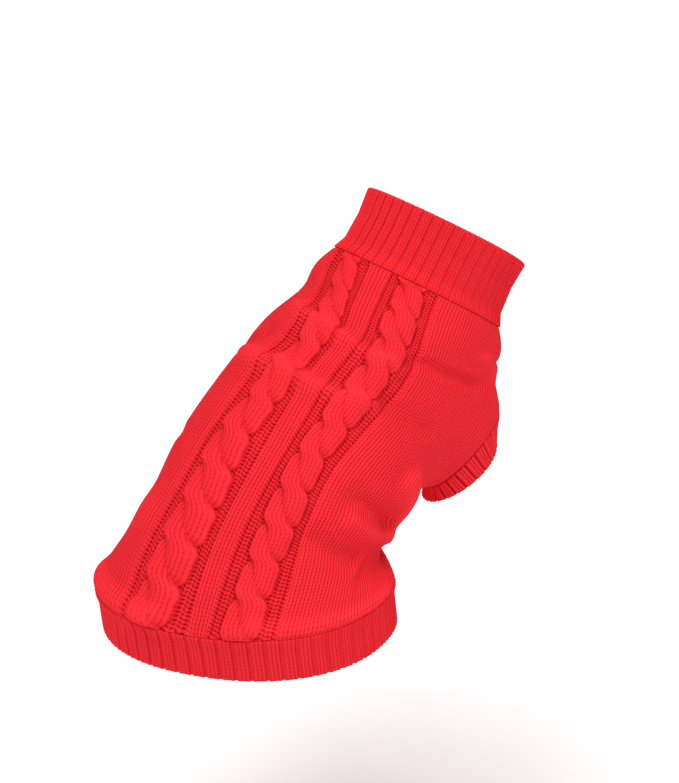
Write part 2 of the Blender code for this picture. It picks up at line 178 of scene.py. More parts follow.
# Folds of the shown cloth alone: creases and crests too narrow for the solids, and a fuller shoulder.
CREASES = (
    Fold("below the nape, right", "right", 42.0, 0.640, 80.0, 0.654, -1.0, 5.5),
    Fold("over the right sleeve", "right", 48.0, 0.476, 68.0, 0.461, -0.7, 5.5),
    Fold("below the right sleeve", "right", 56.0, 0.264, 88.0, 0.208, -1.6, 5.5),
    Fold("on the right flank", "right", 46.0, 0.176, 78.0, 0.114, -1.2, 5.5),
    Fold("on the left flank", "left", 52.0, 0.300, 84.0, 0.270, -0.9, 5.0),
    Fold("over the left sleeve", "left", 48.0, 0.545, 72.0, 0.512, -1.2, 5.0),
    Fold("fullness at the right shoulder", "right", 78.0, 0.780, 98.0, 0.745, 2.6, 17.0),
    Fold("crest over the left shoulder", "left", 2.0, 0.593, 36.0, 0.642, 0.8, 5.0),
    Fold("crest over the right shoulder", "right", 4.0, 0.588, 30.0, 0.577, 0.8, 4.0),
    Fold("crest over the loin, left", "left", 2.0, 0.457, 36.0, 0.475, 0.9, 5.0),
    Fold("crest over the loin, right", "right", 2.0, 0.447, 36.0, 0.459, 1.1, 4.0),
    Fold("under the belly", "both", 150.0, 0.300, 182.0, 0.310, -1.0, 6.0),
)

# The share of the way between the seams in which the folds fade out.
FOLD_FADE = 0.01

# The knitting: how wide and how high a stitch is.

WALE = 1.9
WALE_LEFT_FLANK = 2.7
COURSE = 2.02


class PatternRow(NamedTuple):
    """How far across the lines of the cable pattern are at one along, from left to right."""

    along: float
    left_side: float
    left_cable_outer: float
    left_cable_inner: float
    column_left: float
    column_right: float
    right_cable_inner: float
    right_cable_outer: float
    right_side: float


PATTERN_ROWS = (
    PatternRow(0.00, -41.0, -35.5, -13.5, 0.5, 10.0, 16.5, 35.5, 44.5),
    PatternRow(0.10, -40.0, -30.5, -6.5, 0.6, 10.5, 19.3, 35.5, 43.5),
    PatternRow(0.20, -35.0, -28.0, -5.3, 0.3, 10.0, 17.5, 34.0, 38.5),
    PatternRow(0.30, -33.8, -28.8, -9.0, 0.2, 9.8, 15.0, 30.2, 36.0),
    PatternRow(0.40, -31.0, -22.5, -5.0, 0.2, 10.0, 17.5, 33.5, 40.5),
    PatternRow(0.50, -29.5, -18.0, -2.8, 1.3, 9.8, 19.5, 35.2, 45.0),
    PatternRow(0.60, -29.5, -19.0, -2.5, 0.3, 9.0, 17.5, 33.0, 41.8),
    PatternRow(0.70, -33.0, -24.4, -10.5, -6.5, 3.5, 10.5, 27.0, 34.0),
    PatternRow(0.85, -39.0, -29.5, -16.5, -11.0, -0.5, 7.0, 21.5, 28.5),
    PatternRow(1.00, -44.0, -34.0, -21.0, -13.5, -2.0, 3.0, 18.0, 26.0),
)

# The same lines, counted in wales from the middle of the plain column.
COLUMN_EDGE = 2.5
CABLE_INNER_FOOT = 6.5
CABLE_OUTER_FOOT = 18.5
PLAIN_SIDE_EDGE = 22.5
RIGHT_LINES = (COLUMN_EDGE, CABLE_INNER_FOOT, CABLE_OUTER_FOOT, PLAIN_SIDE_EDGE)
PATTERN_WALES = tuple(-line for line in RIGHT_LINES[::-1]) + RIGHT_LINES

# The ground's heights outwards from the plain knitting, and how far from a seam the pattern fades out.
GUTTER_HEIGHT = -1.4
GUTTER_SLOPE_WALES = 0.9
BELOW_GROUND = -3.0
PATTERN_FADE = 3.0

# The two strands of each cable. Half widths and the swing are across it, the rise and the lift outwards.
COURSES_PER_CROSSING = 10
CROSSING_PHASE_AT_HEM = -0.05
CABLE_WALE = 1.63
STRAND_WALES = 6
STRAND_HALF_WIDTH = 7.0
STRAND_HALF_WIDTH_CROSSING = 7.6
STRAND_SWING = 3.4
STRAND_SHARPNESS = 1.9
STRAND_RISE = 3.2
STRAND_LIFT = 1.6
STRAND_RECOVERY = 0.5
STRAND_ROUNDNESS_LEFT = 0.3
STRAND_ROUNDNESS_RIGHT = 0.5

# Painted shade in dips and painted highlight on crests: a place's depth below the mean of the places up to
# this many rows and columns away sets them, and they are full at this many millimetres.
PAINTED_SHADE_REACH = 3
PAINTED_SHADE_DEPTH = 0.6

# A panel's outer face rolls in at its edges, and its normals are laid into the plane of a sewn edge.
SEAM_ROLL = 0.6
SQUARING_REACH = 8.0

# The ribbing. Places and half widths of its grooves and lips are in wales, and heights in millimetres.
RIB_WALES = 4
RIB_GROOVE_WALE = 3.3
RIB_GROOVE_HALF_WIDTH = 0.7
RIB_GROOVE = 0.9
RIB_LIP_FROM_GROOVE = 0.85
RIB_LIP_HALF_WIDTH = 0.4
RIB_LIP = 0.45
RIB_SCALLOP = 0.15
SCALLOP_REACH = 4.0
RIB_COLUMNS = 20
RIB_ROW = 1.6
BAND_EDGE_AT_SEAM = 0.7
EDGE_ANGLES = (0.0, 30.0, 60.0, 90.0)
CUFF_TWIST = 20.0

# The outer face of a panel is finer than its inner one by this many rows and columns.
INNER_STEP = 3
BACK_ROWS = 99 * INNER_STEP
PATTERN_COLUMNS = 45 * INNER_STEP
SIDE_COLUMNS = 26 * INNER_STEP
BELLY_ROWS = 66 * INNER_STEP
BELLY_COLUMNS = 36 * INNER_STEP


class Band(NamedTuple):
    """A ribbed band. The last field is how strongly the grooves between its ribs are painted in shade and
    its lips in highlight.
    """

    ribs: int
    height: float
    flat: tuple
    groove_painted_shade: float


HEM_BAND = Band(ribs=60, height=23.0, flat=(0.400, 0.024), groove_painted_shade=0.35)
COLLAR = Band(ribs=46, height=36.0, flat=(0.290, 0.037), groove_painted_shade=0.35)
CUFF = Band(ribs=22, height=14.0, flat=(0.145, 0.015), groove_painted_shade=2.6)


class Inset(NamedTuple):
    """How far in the middle of a band is, at a share of the way from its seam to its free edge."""

    share: float
    depth: float


HEM_BAND_INSETS = (Inset(0.0, 0.0), Inset(0.25, 1.5), Inset(1.0, 1.5))
COLLAR_INSETS = (Inset(0.0, 0.0), Inset(0.2, 3.2), Inset(0.6, 4.0), Inset(1.0, 2.8))

# Yarn. Colours are linear, bumps are in millimetres, and the kinds are the numbers of YARNS.
KNIT, PURL, SOFT_KNIT = 0, 1, 2
# The colour runs from the deep red, painted shade in stitch holes, dips and rib grooves, to the light red,
# which stitch tops nearly have and crests get in full as a painted highlight.
YARN_PAINTED_SHADE = (0.36, 0.000, 0.002, 1.0)
YARN_TOP_AND_PAINTED_HIGHLIGHT = (0.92, 0.031, 0.043, 1.0)
# The level is where stitch tops lie between the two; the contrasts set how much painted shade falls in
# stitch holes.
YARN_LEVEL = 0.85
KNIT_CONTRAST = 0.7
PURL_CONTRAST = 0.75
SOFT_KNIT_CONTRAST = 0.5
KNIT_BUMP = 0.4
PURL_BUMP = 0.5
SOFT_KNIT_BUMP = 0.3
STITCH_SLANT = 0.5
STITCH_HOLE = 0.6
STITCH_ROUNDNESS = 2.6
PURL_SLANT = 0.3
PURL_LEAN = 0.4
PURL_BREAK = 0.6

# What makes the yarn uneven: stitches that wobble, loose fibres and broad patches, with painted shade in
# dips and painted highlights on crests. The wobble is in stitches, and the scales are per metre.
NOISE_DETAIL = 2.0
WOBBLE = 0.5
WOBBLE_SCALE = 250.0
FIBRE_SCALE = 2500.0
FIBRE_SHARE = 0.45
# How strongly dips are painted in shade, and how strongly fold crests are painted in highlight per
# millimetre.
PAINTED_SHADE_SHARE = 0.28
PAINTED_HIGHLIGHT_PER_MM = 0.3
PATCH_SCALE = 60.0
PATCH_SHARE = 0.15

# How it shines.
YARN_ROUGHNESS = 0.88
YARN_GLOSS = 0.01
SHEEN = 0.02
SHEEN_ROUGHNESS = 0.4
SHEEN_TINT = (1.0, 0.15, 0.18, 1.0)

# A Mix node's sockets for colours, by number.
MIX_FACTOR = 0
MIX_LOW = 6
MIX_HIGH = 7
MIX_RESULT = 2

# Stage, in metres.
FLOOR_HALF_SIZE = 6.0
FLOOR_HEIGHT = -0.32
FLOOR_DARK = (0.93, 0.93, 0.94, 1.0)
FLOOR_LIGHT = (0.96, 0.96, 0.96, 1.0)
FLOOR_GRAIN_SCALE = 40.0
FLOOR_ROUGHNESS = 0.9
CAMERA_AZIMUTH = 26.8
CAMERA_ELEVATION = 23.3
CAMERA_AIM = (-0.0056, -0.0299, -0.0395)
CAMERA_DISTANCE = 1.4
CAMERA_SENSOR = 36.0
CAMERA_LENS = 128.7
WORLD_COLOUR = (1.0, 1.0, 1.0, 1.0)
WORLD_STRENGTH = 0.42


class SoftSun(NamedTuple):
    """A wide far light; azimuth 0 shines along +Y."""

    name: str
    azimuth: float
    elevation: float
    spread: float
    strength: float


SOFT_SUNS = (
    SoftSun("key", -10.0, 78.0, 50.0, 2.2),
    SoftSun("right_side", 95.0, 35.0, 40.0, 0.65),
    SoftSun("fill", 20.0, 10.0, 60.0, 0.35),
)


def unit(vector):
    """The vector or vectors at length one."""
    vector = np.asarray(vector, float)
    return vector / np.linalg.norm(vector, axis=-1, keepdims=True)


def smooth_step(share):
    """0 to 1 with flat ends."""
    share = np.clip(share, 0.0, 1.0)
    return share * share * (3.0 - 2.0 * share)


def through_rows(rows, along):
    """The columns after along of a table's rows, by a cubic through them."""
    table = np.array(rows)
    at, values = table[:, 0], table[:, 1:]
    slopes = np.gradient(values, at, axis=0)
    along = np.asarray(along, float)
    index = np.clip(np.searchsorted(at, along, side="right") - 1, 0, len(at) - 2)
    step = (at[index + 1] - at[index])[..., None]
    t = (along - at[index])[..., None] / step
    from_start = (2 * t**3 - 3 * t**2 + 1) * values[index] + (t**3 - 2 * t**2 + t) * step * slopes[index]
    from_end = (3 * t**2 - 2 * t**3) * values[index + 1] + (t**3 - t**2) * step * slopes[index + 1]
    return from_start + from_end


def section_at(along):
    """The columns of SECTIONS after along."""
    return through_rows([row[1:] for row in SECTIONS], along)


def section_centre(along):
    """The middle of a section."""
    return section_at(along)[..., :3]


def section_axes(along):
    """A section's directions to the wearer's right, to the back and to the neck, as rows."""
    pitch, roll = np.moveaxis(np.radians(section_at(along)[..., 3:5]), -1, 0)
    level = np.zeros_like(pitch)
    right = (np.cos(roll), level, -np.sin(roll))
    back = (np.cos(pitch) * np.sin(roll), -np.sin(pitch), np.cos(pitch) * np.cos(roll))
    neck = (np.sin(pitch) * np.sin(roll), np.cos(pitch), np.sin(pitch) * np.cos(roll))
    return np.stack([np.stack(way, axis=-1) for way in (right, back, neck)], axis=-2)


def ring_point(along, turn):
    """A point of the plain body tube; turn is the angle round it from the middle of the back."""
    half_width, back_depth, belly_depth = np.moveaxis(section_at(along)[..., 5:], -1, 0)
    sine, cosine = np.sin(turn), np.cos(turn)
    power = SECTION_SQUARENESS
    swell = (np.abs(sine) ** power + np.abs(cosine) ** power) ** (-1.0 / power)
    depth = np.where(cosine > 0.0, back_depth, belly_depth)
    axes = section_axes(along)
    width_way = (half_width * sine * swell)[..., None] * axes[..., 0, :]
    return section_centre(along) + width_way + (depth * cosine * swell)[..., None] * axes[..., 1, :]


def girth_so_far(along):
    """For each along, the distance round the tube at every angle of HALF_TURN."""
    along = np.atleast_1d(along)
    points = ring_point(along[:, None], HALF_TURN[None, :])
    steps = np.linalg.norm(np.diff(points, axis=1), axis=2)
    return np.concatenate([np.zeros((len(points), 1)), np.cumsum(steps, axis=1)], axis=1)


def half_girth(along):
    """From the middle of the back to the middle of the belly."""
    return girth_so_far(along)[:, -1]


def side_seam(along):
    """How far across the side seam is, with no arm hole."""
    swell = np.sin(math.pi * np.clip(along, 0.0, 1.0)) ** 2
    return (SEAM_SHARE_AT_ENDS + SEAM_SHARE_SWELL * swell) * half_girth(along)


def ring_axes(ring):
    """The ring's outward axis, its way to the belly and its way to the neck, in its section's terms."""
    axis = unit(ring.axis)
    to_neck = np.array([0.0, 0.0, 1.0])
    along_way = unit(to_neck - (to_neck @ axis) * axis)
    return axis, np.cross(axis, along_way), along_way


def mirror(side):
    """Factors that mirror a section's width, on the right (1) or the left (-1)."""
    return np.stack([side, np.ones_like(side), np.ones_like(side)], axis=-1)


def from_arm_section(places, side):
    """Places given from the section at the arm hole, on the right (1) or mirrored to the left (-1)."""
    return section_centre(ARM_HOLE.along) + places * mirror(side) @ section_axes(ARM_HOLE.along)


def sleeve_mouth(across_share, along_share, beyond):
    """A point of the sleeve's flare: the cuff seam spread out and moved back towards the body."""
    axis, across_way, along_way = ring_axes(CUFF_SEAM)
    spread = 1.0 + ARM_HOLE.flare * beyond
    by_across = (CUFF_SEAM.half_across * across_share * spread)[..., None] * across_way
    by_along = (CUFF_SEAM.half_along * along_share * spread)[..., None] * along_way
    return np.array(CUFF_SEAM.centre) + by_across + by_along - (ARM_HOLE.rise * beyond)[..., None] * axis


def body_point(across, along):
    """The body form: the plain tube, drawn out to the cuff seams round the arm holes."""
    arcs = girth_so_far(along[:, 0])
    turns = [np.interp(np.abs(row), arc, HALF_TURN) for row, arc in zip(across, arcs)]
    side = np.where(across < 0.0, -1.0, 1.0)
    tube = ring_point(along, np.array(turns) * side)
    across_share = (np.abs(across) - side_seam(along[:, 0])[:, None]) / ARM_HOLE.half_across
    along_share = (along - ARM_HOLE.along) / ARM_HOLE.half_along
    distance = np.maximum(np.hypot(across_share, along_share), LEAST_DISTANCE)
    beyond = np.maximum(distance - 1.0, 0.0)
    mouth = sleeve_mouth(across_share / distance, along_share / distance, beyond)
    mouth = from_arm_section(mouth, side)
    to_belly = 0.5 + 0.5 * across_share / distance
    reach = ARM_HOLE.reach_to_back + (ARM_HOLE.reach_to_belly - ARM_HOLE.reach_to_back) * to_belly
    drawn_out = 1.0 - smooth_step(beyond / (reach - 1.0))
    return tube + drawn_out[..., None] * (mouth - tube)


def body_normal(across, along):
    """The body form's outward normal, from differences between near points."""
    step_along = DIFFERENCE_STEP / BODY_LENGTH
    by_across = body_point(across + DIFFERENCE_STEP, along) - body_point(across - DIFFERENCE_STEP, along)
    by_along = body_point(across, along + step_along) - body_point(across, along - step_along)
    return unit(np.cross(by_across, by_along))


def withers():
    """Where the back panel's inner face rests on the wearer, which is the frame's origin."""
    across, along = np.array([[0.0]]), np.array([[WITHERS_ALONG]])
    normal = body_normal(across, along)
    return (body_point(across, along) - normal * PANEL_WALL / 2)[0, 0]


ORIGIN = withers()


def fold_height(fold, across, along):
    """The fold's height at each place, with a rounded section and rounded ends."""
    side = {"left": -across, "right": across, "both": np.abs(across)}[fold.side]
    place = np.stack([side, along * BODY_LENGTH], axis=-1)
    start = np.array([fold.from_across, fold.from_along * BODY_LENGTH])
    run = np.array([fold.to_across, fold.to_along * BODY_LENGTH]) - start
    share = np.clip((place - start) @ run / (run @ run), 0.0, 1.0)
    distance = np.linalg.norm(place - start - share[..., None] * run, axis=-1)
    return fold.height * (1.0 - smooth_step(distance / fold.half_width))


def folds_height(across, along):
    """All the folds, fading out at the hem and neck seams."""
    height = sum(fold_height(fold, across, along) for fold in FOLDS + CREASES)
    return height * smooth_step(np.minimum(along, 1.0 - along) / FOLD_FADE)


def pattern_lines(along):
    """How far across each line of the pattern is, by a cubic through PATTERN_ROWS."""
    return through_rows(PATTERN_ROWS, along)


def length_up(along, across):
    """Millimetres of cloth from the hem seam up to each along, on one line across."""
    points = body_point(np.full((len(FINE_ALONG), 1), across), FINE_ALONG[:, None])[:, 0]
    so_far = np.concatenate([[0.0], np.cumsum(np.linalg.norm(np.diff(points, axis=0), axis=1))])
    return np.interp(along, FINE_ALONG, so_far)


def wales_at(across, along):
    """Wales from the middle of the plain column; every row of the grid has one along."""
    rows = []
    for places, lines in zip(across, pattern_lines(along[:, 0])):
        inside = np.interp(places, lines, PATTERN_WALES)
        left = np.minimum(places - lines[0], 0.0) / WALE_LEFT_FLANK
        right = np.maximum(places - lines[-1], 0.0) / WALE
        rows.append(inside + left + right)
    return np.array(rows)


def ground_height(wales):
    """The pattern without its cables: plain knitting at 0, and gutters beside and below each cable."""
    away = np.abs(wales)
    into_gutter = smooth_step((away - COLUMN_EDGE) / GUTTER_SLOPE_WALES)
    out_of_it = smooth_step((PLAIN_SIDE_EDGE - away) / GUTTER_SLOPE_WALES)
    return GUTTER_HEIGHT * into_gutter * out_of_it


def strand_lift(phase):
    """1 where the strand crosses over, falling to -1 where it passes under and soon back up."""
    turn = phase % 2.0
    risen = np.clip(turn - 1.0, 0.0, 1.0) ** STRAND_RECOVERY
    return np.where(turn < 1.0, np.cos(math.pi * turn), -np.cos(math.pi * risen))


def strand(place, phase):
    """One of a cable's two strands, at a place across the cable.

    phase is 0 where it crosses over the other strand and 1 where it passes under it.
    Returns its height, its wale and how many courses the stitch lies ahead of the row it is in.
    """
    length = COURSES_PER_CROSSING * COURSE
    sine, cosine = np.sin(math.pi * phase), np.cos(math.pi * phase)
    most = math.tanh(STRAND_SHARPNESS)
    middle = -STRAND_SWING * np.tanh(STRAND_SHARPNESS * sine) / most
    steepness = STRAND_SWING * STRAND_SHARPNESS * math.pi / (length * most)
    slope = -steepness * cosine / np.cosh(STRAND_SHARPNESS * sine) ** 2
    half_width = STRAND_HALF_WIDTH + (STRAND_HALF_WIDTH_CROSSING - STRAND_HALF_WIDTH) * cosine**2
    from_middle = (place - middle) / half_width
    roundness = np.where(from_middle < 0.0, STRAND_ROUNDNESS_LEFT, STRAND_ROUNDNESS_RIGHT)
    crown = np.clip(1.0 - from_middle**2, 0.0, 1.0) ** roundness
    height = GUTTER_HEIGHT + (STRAND_RISE + STRAND_LIFT * strand_lift(phase)) * crown
    wale = from_middle * STRAND_WALES / 2
    ahead = (place - middle) * slope / (1.0 + slope**2) / COURSE
    return np.where(np.abs(from_middle) < 1.0, height, BELOW_GROUND), wale, ahead


class Knitting(NamedTuple):
    """What the back's knitting is at each place.

    surfaces says which is on top, 0 for the ground and 1 or 2 for a strand, and kinds is its yarn.
    """

    height: np.ndarray
    wales: np.ndarray
    courses: np.ndarray
    kinds: np.ndarray
    surfaces: np.ndarray


def knitting_at(across, along, surfaces=None):
    """The back's knitting. surfaces, if given, says whose stitches to read at each place."""
    wales = wales_at(across, along)
    away = np.abs(wales)
    courses = length_up(along, 0.0) / COURSE
    phase = courses / COURSES_PER_CROSSING + CROSSING_PHASE_AT_HEM
    place = (away - (CABLE_INNER_FOOT + CABLE_OUTER_FOOT) / 2) * np.sign(wales) * CABLE_WALE
    layers = [(ground_height(wales), wales, 0.0 * wales)]
    layers += [strand(place, phase), strand(place, phase + 1.0)]
    heights, stitch_wales, ahead = (np.stack([layer[i] for layer in layers]) for i in range(3))
    if surfaces is None:
        surfaces = heights.argmax(axis=0)
    stitch_wales = np.take_along_axis(stitch_wales, surfaces[None], axis=0)[0]
    ahead = np.take_along_axis(ahead, surfaces[None], axis=0)[0]
    ground = np.where((away > COLUMN_EDGE) & (away < PLAIN_SIDE_EDGE), PURL, KNIT)
    kinds = np.where(surfaces == 0, ground, SOFT_KNIT)
    return Knitting(heights.max(axis=0), stitch_wales, courses + ahead, kinds, surfaces)


def seam_distances(across, along):
    """Millimetres to the hem seam, the neck seam, the side seams and the arm holes."""
    up = length_up(along, 0.0)
    aside = np.abs(across) - side_seam(along[:, 0])[:, None]
    hole = np.hypot(aside / ARM_HOLE.half_across, (along - ARM_HOLE.along) / ARM_HOLE.half_along) - 1.0
    return up, length_up(1.0, 0.0) - up, np.abs(aside), hole * ARM_HOLE.half_across


def hole_inset(along):
    """How far the arm hole takes each panel's edge back from the side seam."""
    share = np.clip(1.0 - ((along - ARM_HOLE.along) / ARM_HOLE.half_along) ** 2, 0.0, 1.0)
    return ARM_HOLE.half_across * np.sqrt(share)


def panel_alongs(rows):
    """Rows evenly spaced up the middle of the back, with two of them at the arm hole's ends."""
    lengths = length_up(FINE_ALONG, 0.0)
    along = np.interp(np.linspace(0.0, lengths[-1], rows + 1), lengths, FINE_ALONG)
    for end in (ARM_HOLE.along - ARM_HOLE.half_along, ARM_HOLE.along + ARM_HOLE.half_along):
        along[np.abs(along - end).argmin()] = end
    return along


def back_grid():
    """across and along for the back panel, finest in the cable pattern."""
    along = panel_alongs(BACK_ROWS)
    edge = (side_seam(along) - hole_inset(along))[:, None]
    wales = np.linspace(-PLAIN_SIDE_EDGE, PLAIN_SIDE_EDGE, PATTERN_COLUMNS + 1)
    pattern = np.array([np.interp(wales, PATTERN_WALES, lines) for lines in pattern_lines(along)])
    shares = np.linspace(0.0, 1.0, SIDE_COLUMNS + 1)[1:]
    right = pattern[:, -1:] + (edge - pattern[:, -1:]) * shares
    left = pattern[:, :1] - (edge + pattern[:, :1]) * shares
    across = np.concatenate([left[:, ::-1], pattern, right], axis=1)
    return across, np.repeat(along[:, None], across.shape[1], axis=1)


def belly_grid():
    """across and along for the belly panel; across passes half the girth in the middle."""
    along = panel_alongs(BELLY_ROWS)
    whole = half_girth(along)
    width = whole - side_seam(along) - hole_inset(along)
    across = whole[:, None] + width[:, None] * np.linspace(-1.0, 1.0, BELLY_COLUMNS + 1)
    return across, np.repeat(along[:, None], across.shape[1], axis=1)


def wrapped(across, along):
    """across beyond the middle of the belly, counted from the other side."""
    whole = half_girth(along[:, 0])[:, None]
    return np.where(across > whole, across - 2.0 * whole, across)


def squared(normals, axis, distance):
    """Normals laid into the plane of a sewn edge, and left as they are away from it."""
    near = 1.0 - smooth_step(distance / SQUARING_REACH)
    lean = (normals * axis).sum(axis=-1) * near
    return unit(normals - lean[..., None] * axis)


def roll_in(distance):
    """How far a panel's outer face turns in at an edge."""
    share = np.clip(1.0 - distance / SEAM_ROLL, 0.0, 1.0)
    return SEAM_ROLL * (1.0 - np.sqrt(1.0 - share**2))


def cloth_faces(across, along, knit_height):
    """The outer and inner points of a panel."""
    across = wrapped(across, along)
    hem, neck, side, hole = seam_distances(across, along)
    cuff_axis = unit(CUFF_SEAM.axis) * mirror(np.where(across < 0.0, -1.0, 1.0))
    normals = body_normal(across, along)
    normals = squared(normals, section_axes(0.0)[2], hem)
    normals = squared(normals, section_axes(1.0)[2], neck)
    normals = squared(normals, cuff_axis @ section_axes(ARM_HOLE.along), hole)
    middle = body_point(across, along) + folds_height(across, along)[..., None] * normals
    height = knit_height * smooth_step(np.minimum(hem, neck) / PATTERN_FADE)
    height = height + PANEL_WALL / 2 - roll_in(np.minimum.reduce([hem, neck, side, hole]))
    return middle + height[..., None] * normals, middle - PANEL_WALL / 2 * normals


def corners_of(grid):
    """The values at the four corners of every face of a grid, counterclockwise from the first."""
    return np.stack([grid[:-1, :-1], grid[:-1, 1:], grid[1:, 1:], grid[1:, :-1]])


def quads(grid):
    """The faces of a grid of vertex numbers, facing out where rows go up and columns go right."""
    return np.moveaxis(corners_of(grid), 0, -1).reshape(-1, 4)


def stitch_corners(wales, courses):
    """A UV for every corner of every face of a grid."""
    return np.moveaxis(np.stack([corners_of(wales), corners_of(courses)], axis=-1), 0, 2)


def rim(fine, coarse):
    """Faces between an edge of the fine outer face and the coarse inner one."""
    faces = []
    for place, (start, end) in enumerate(zip(coarse[:-1], coarse[1:])):
        first = place * INNER_STEP
        faces.append([start, end, *fine[first : first + INNER_STEP + 1][::-1]])
    return faces


def inner_and_rim_faces(outer, inner):
    """The faces that close a panel, from the vertex numbers of its outer and inner grids."""
    edges = [
        (outer[0], inner[0]),
        (outer[::-1, 0], inner[::-1, 0]),
        (outer[-1, ::-1], inner[-1, ::-1]),
        (outer[:, -1], inner[:, -1]),
    ]
    faces = quads(inner)[:, ::-1].tolist()
    for fine, coarse in edges:
        faces += rim(fine.tolist(), coarse.tolist())
    return faces


def painted_shade_from_relief(height):
    """Painted shade (1 in a dip) to highlight (-1 on a crest) by how far each grid place lies below those
    round it.
    """
    padded = np.pad(height, PAINTED_SHADE_REACH, mode="edge")
    rows, columns = height.shape
    shifts = range(2 * PAINTED_SHADE_REACH + 1)
    around = np.mean([padded[i : i + rows, j : j + columns] for i in shifts for j in shifts], axis=0)
    return np.clip((around - height) / PAINTED_SHADE_DEPTH, -1.0, 1.0)


def new_piece(name, points, faces, stitches, kinds, painted_shade_and_light):
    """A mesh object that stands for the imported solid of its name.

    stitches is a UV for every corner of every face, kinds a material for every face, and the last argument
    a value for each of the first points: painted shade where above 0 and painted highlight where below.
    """
    mesh = bpy.data.meshes.new(name)
    mesh.from_pydata(((points - ORIGIN) * METRES_PER_MM).tolist(), [], faces)
    layer = mesh.uv_layers.new(name="stitches")
    layer.data.foreach_set("uv", np.asarray(stitches, np.float32).ravel())
    for material in YARNS:
        mesh.materials.append(material)
    mesh.polygons.foreach_set("material_index", np.asarray(kinds, np.int32))
    values = np.zeros(len(points), np.float32)
    values[: painted_shade_and_light.size] = painted_shade_and_light.ravel()
    # The painted shade and highlight, as an attribute that the yarn reads.
    mesh.attributes.new("painted_shading", "FLOAT", "POINT").data.foreach_set("value", values)
    mesh.shade_smooth()
    piece = bpy.data.objects.new(name + "_knit", mesh)
    bpy.context.scene.collection.objects.link(piece)
    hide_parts(name)
    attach(piece, "root")
    return piece


def add_panel(name, across, along, knit_height, corner_stitches, kinds):
    """A panel: its outer face, its inner face and the rim between them."""
    outer_points, inner_points = cloth_faces(across, along, knit_height)
    inner_points = inner_points[::INNER_STEP, ::INNER_STEP]
    points = np.concatenate([outer_points.reshape(-1, 3), inner_points.reshape(-1, 3)])
    outer = np.arange(across.size).reshape(across.shape)
    inner = np.arange(inner_points[..., 0].size).reshape(inner_points.shape[:2]) + across.size
    hidden_faces = inner_and_rim_faces(outer, inner)
    places = np.stack([across / WALE, length_up(along, 0.0) / COURSE], axis=-1)
    inner_places = places[::INNER_STEP, ::INNER_STEP]
    by_vertex = np.concatenate([places.reshape(-1, 2), inner_places.reshape(-1, 2)])
    hidden_corners = [vertex for face in hidden_faces for vertex in face]
    stitches = np.concatenate([corner_stitches.reshape(-1, 2), by_vertex[hidden_corners]])
    kinds = np.concatenate([kinds.ravel(), np.full(len(hidden_faces), PURL)])
    # Painted shade in the knitting's dips, and painted highlights on its crests and on the folds' crests.
    crests = np.maximum(folds_height(wrapped(across, along), along), 0.0)
    painted_shade_and_light = painted_shade_from_relief(knit_height) - PAINTED_HIGHLIGHT_PER_MM * crests
    piece = new_piece(name, points, quads(outer).tolist() + hidden_faces, stitches, kinds, painted_shade_and_light)


def add_back_panel():
    """The back, with a plain column between two cables."""
    across, along = back_grid()
    height = knitting_at(across, along).height
    at_face = knitting_at(corners_of(across).mean(axis=0), corners_of(along).mean(axis=0))
    at_corners = [
        knitting_at(corner_across, corner_along, at_face.surfaces)
        for corner_across, corner_along in zip(corners_of(across), corners_of(along))
    ]
    stitches = [np.stack([corner.wales, corner.courses], axis=-1) for corner in at_corners]
    add_panel("back_panel", across, along, height, np.stack(stitches, axis=2), at_face.kinds)


def add_belly_panel():
    """The belly, all plain knitting."""
    across, along = belly_grid()
    courses = length_up(along, 0.0) / COURSE
    wales = (across - half_girth(along[:, 0])[:, None]) / WALE
    kinds = np.full((BELLY_ROWS, BELLY_COLUMNS), KNIT)
    stitches = stitch_corners(wales, courses)
    add_panel("belly_panel", across, along, np.zeros_like(across), stitches, kinds)


def from_rib_groove(wales):
    """Wales to the nearest groove between two ribs."""
    half = RIB_WALES / 2
    return np.abs((wales - RIB_GROOVE_WALE + half) % RIB_WALES - half)


def rib_height(wales):
    """The rib's relief: broad flat ribs with raised edges and narrow grooves between them."""
    away = from_rib_groove(wales)
    groove = 1.0 - smooth_step(away / RIB_GROOVE_HALF_WIDTH)
    lip = 1.0 - smooth_step(np.abs(away - RIB_LIP_FROM_GROOVE) / RIB_LIP_HALF_WIDTH)
    return RIB_LIP * lip - RIB_GROOVE * groove


def edge_profile(height):
    """Down the outer side of a band and back up the inner one.

    Returns the travels from the seam, the shares of the full thickness, and 1 outside or -1 inside.
    """
    bend = 1.0 - np.cos(np.radians(EDGE_ANGLES))
    at_seam, at_edge = BAND_EDGE_AT_SEAM, RIB_WALL / 2
    rows = max(2, round((height - at_seam - at_edge) / RIB_ROW))
    body = np.linspace(at_seam, height - at_edge, rows + 1)[1:-1]
    travels = np.concatenate([at_seam * bend, body, height - at_edge * bend[::-1]])
    from_end = np.minimum(travels / at_seam, (height - travels) / at_edge)
    rounding = np.sqrt(1.0 - (1.0 - np.clip(from_end, 0.0, 1.0)) ** 2)
    sides = np.concatenate([np.ones(len(travels)), -np.ones(len(travels) - 2)])
    travels = np.concatenate([travels, travels[-2:0:-1]])
    rounding = np.concatenate([rounding, rounding[-2:0:-1]])
    return travels, rounding, sides


def closed(grid):
    """A grid with its first row and column again at its end."""
    grid = np.concatenate([grid, grid[:, :1]], axis=1)
    return np.concatenate([grid, grid[:1]], axis=0)


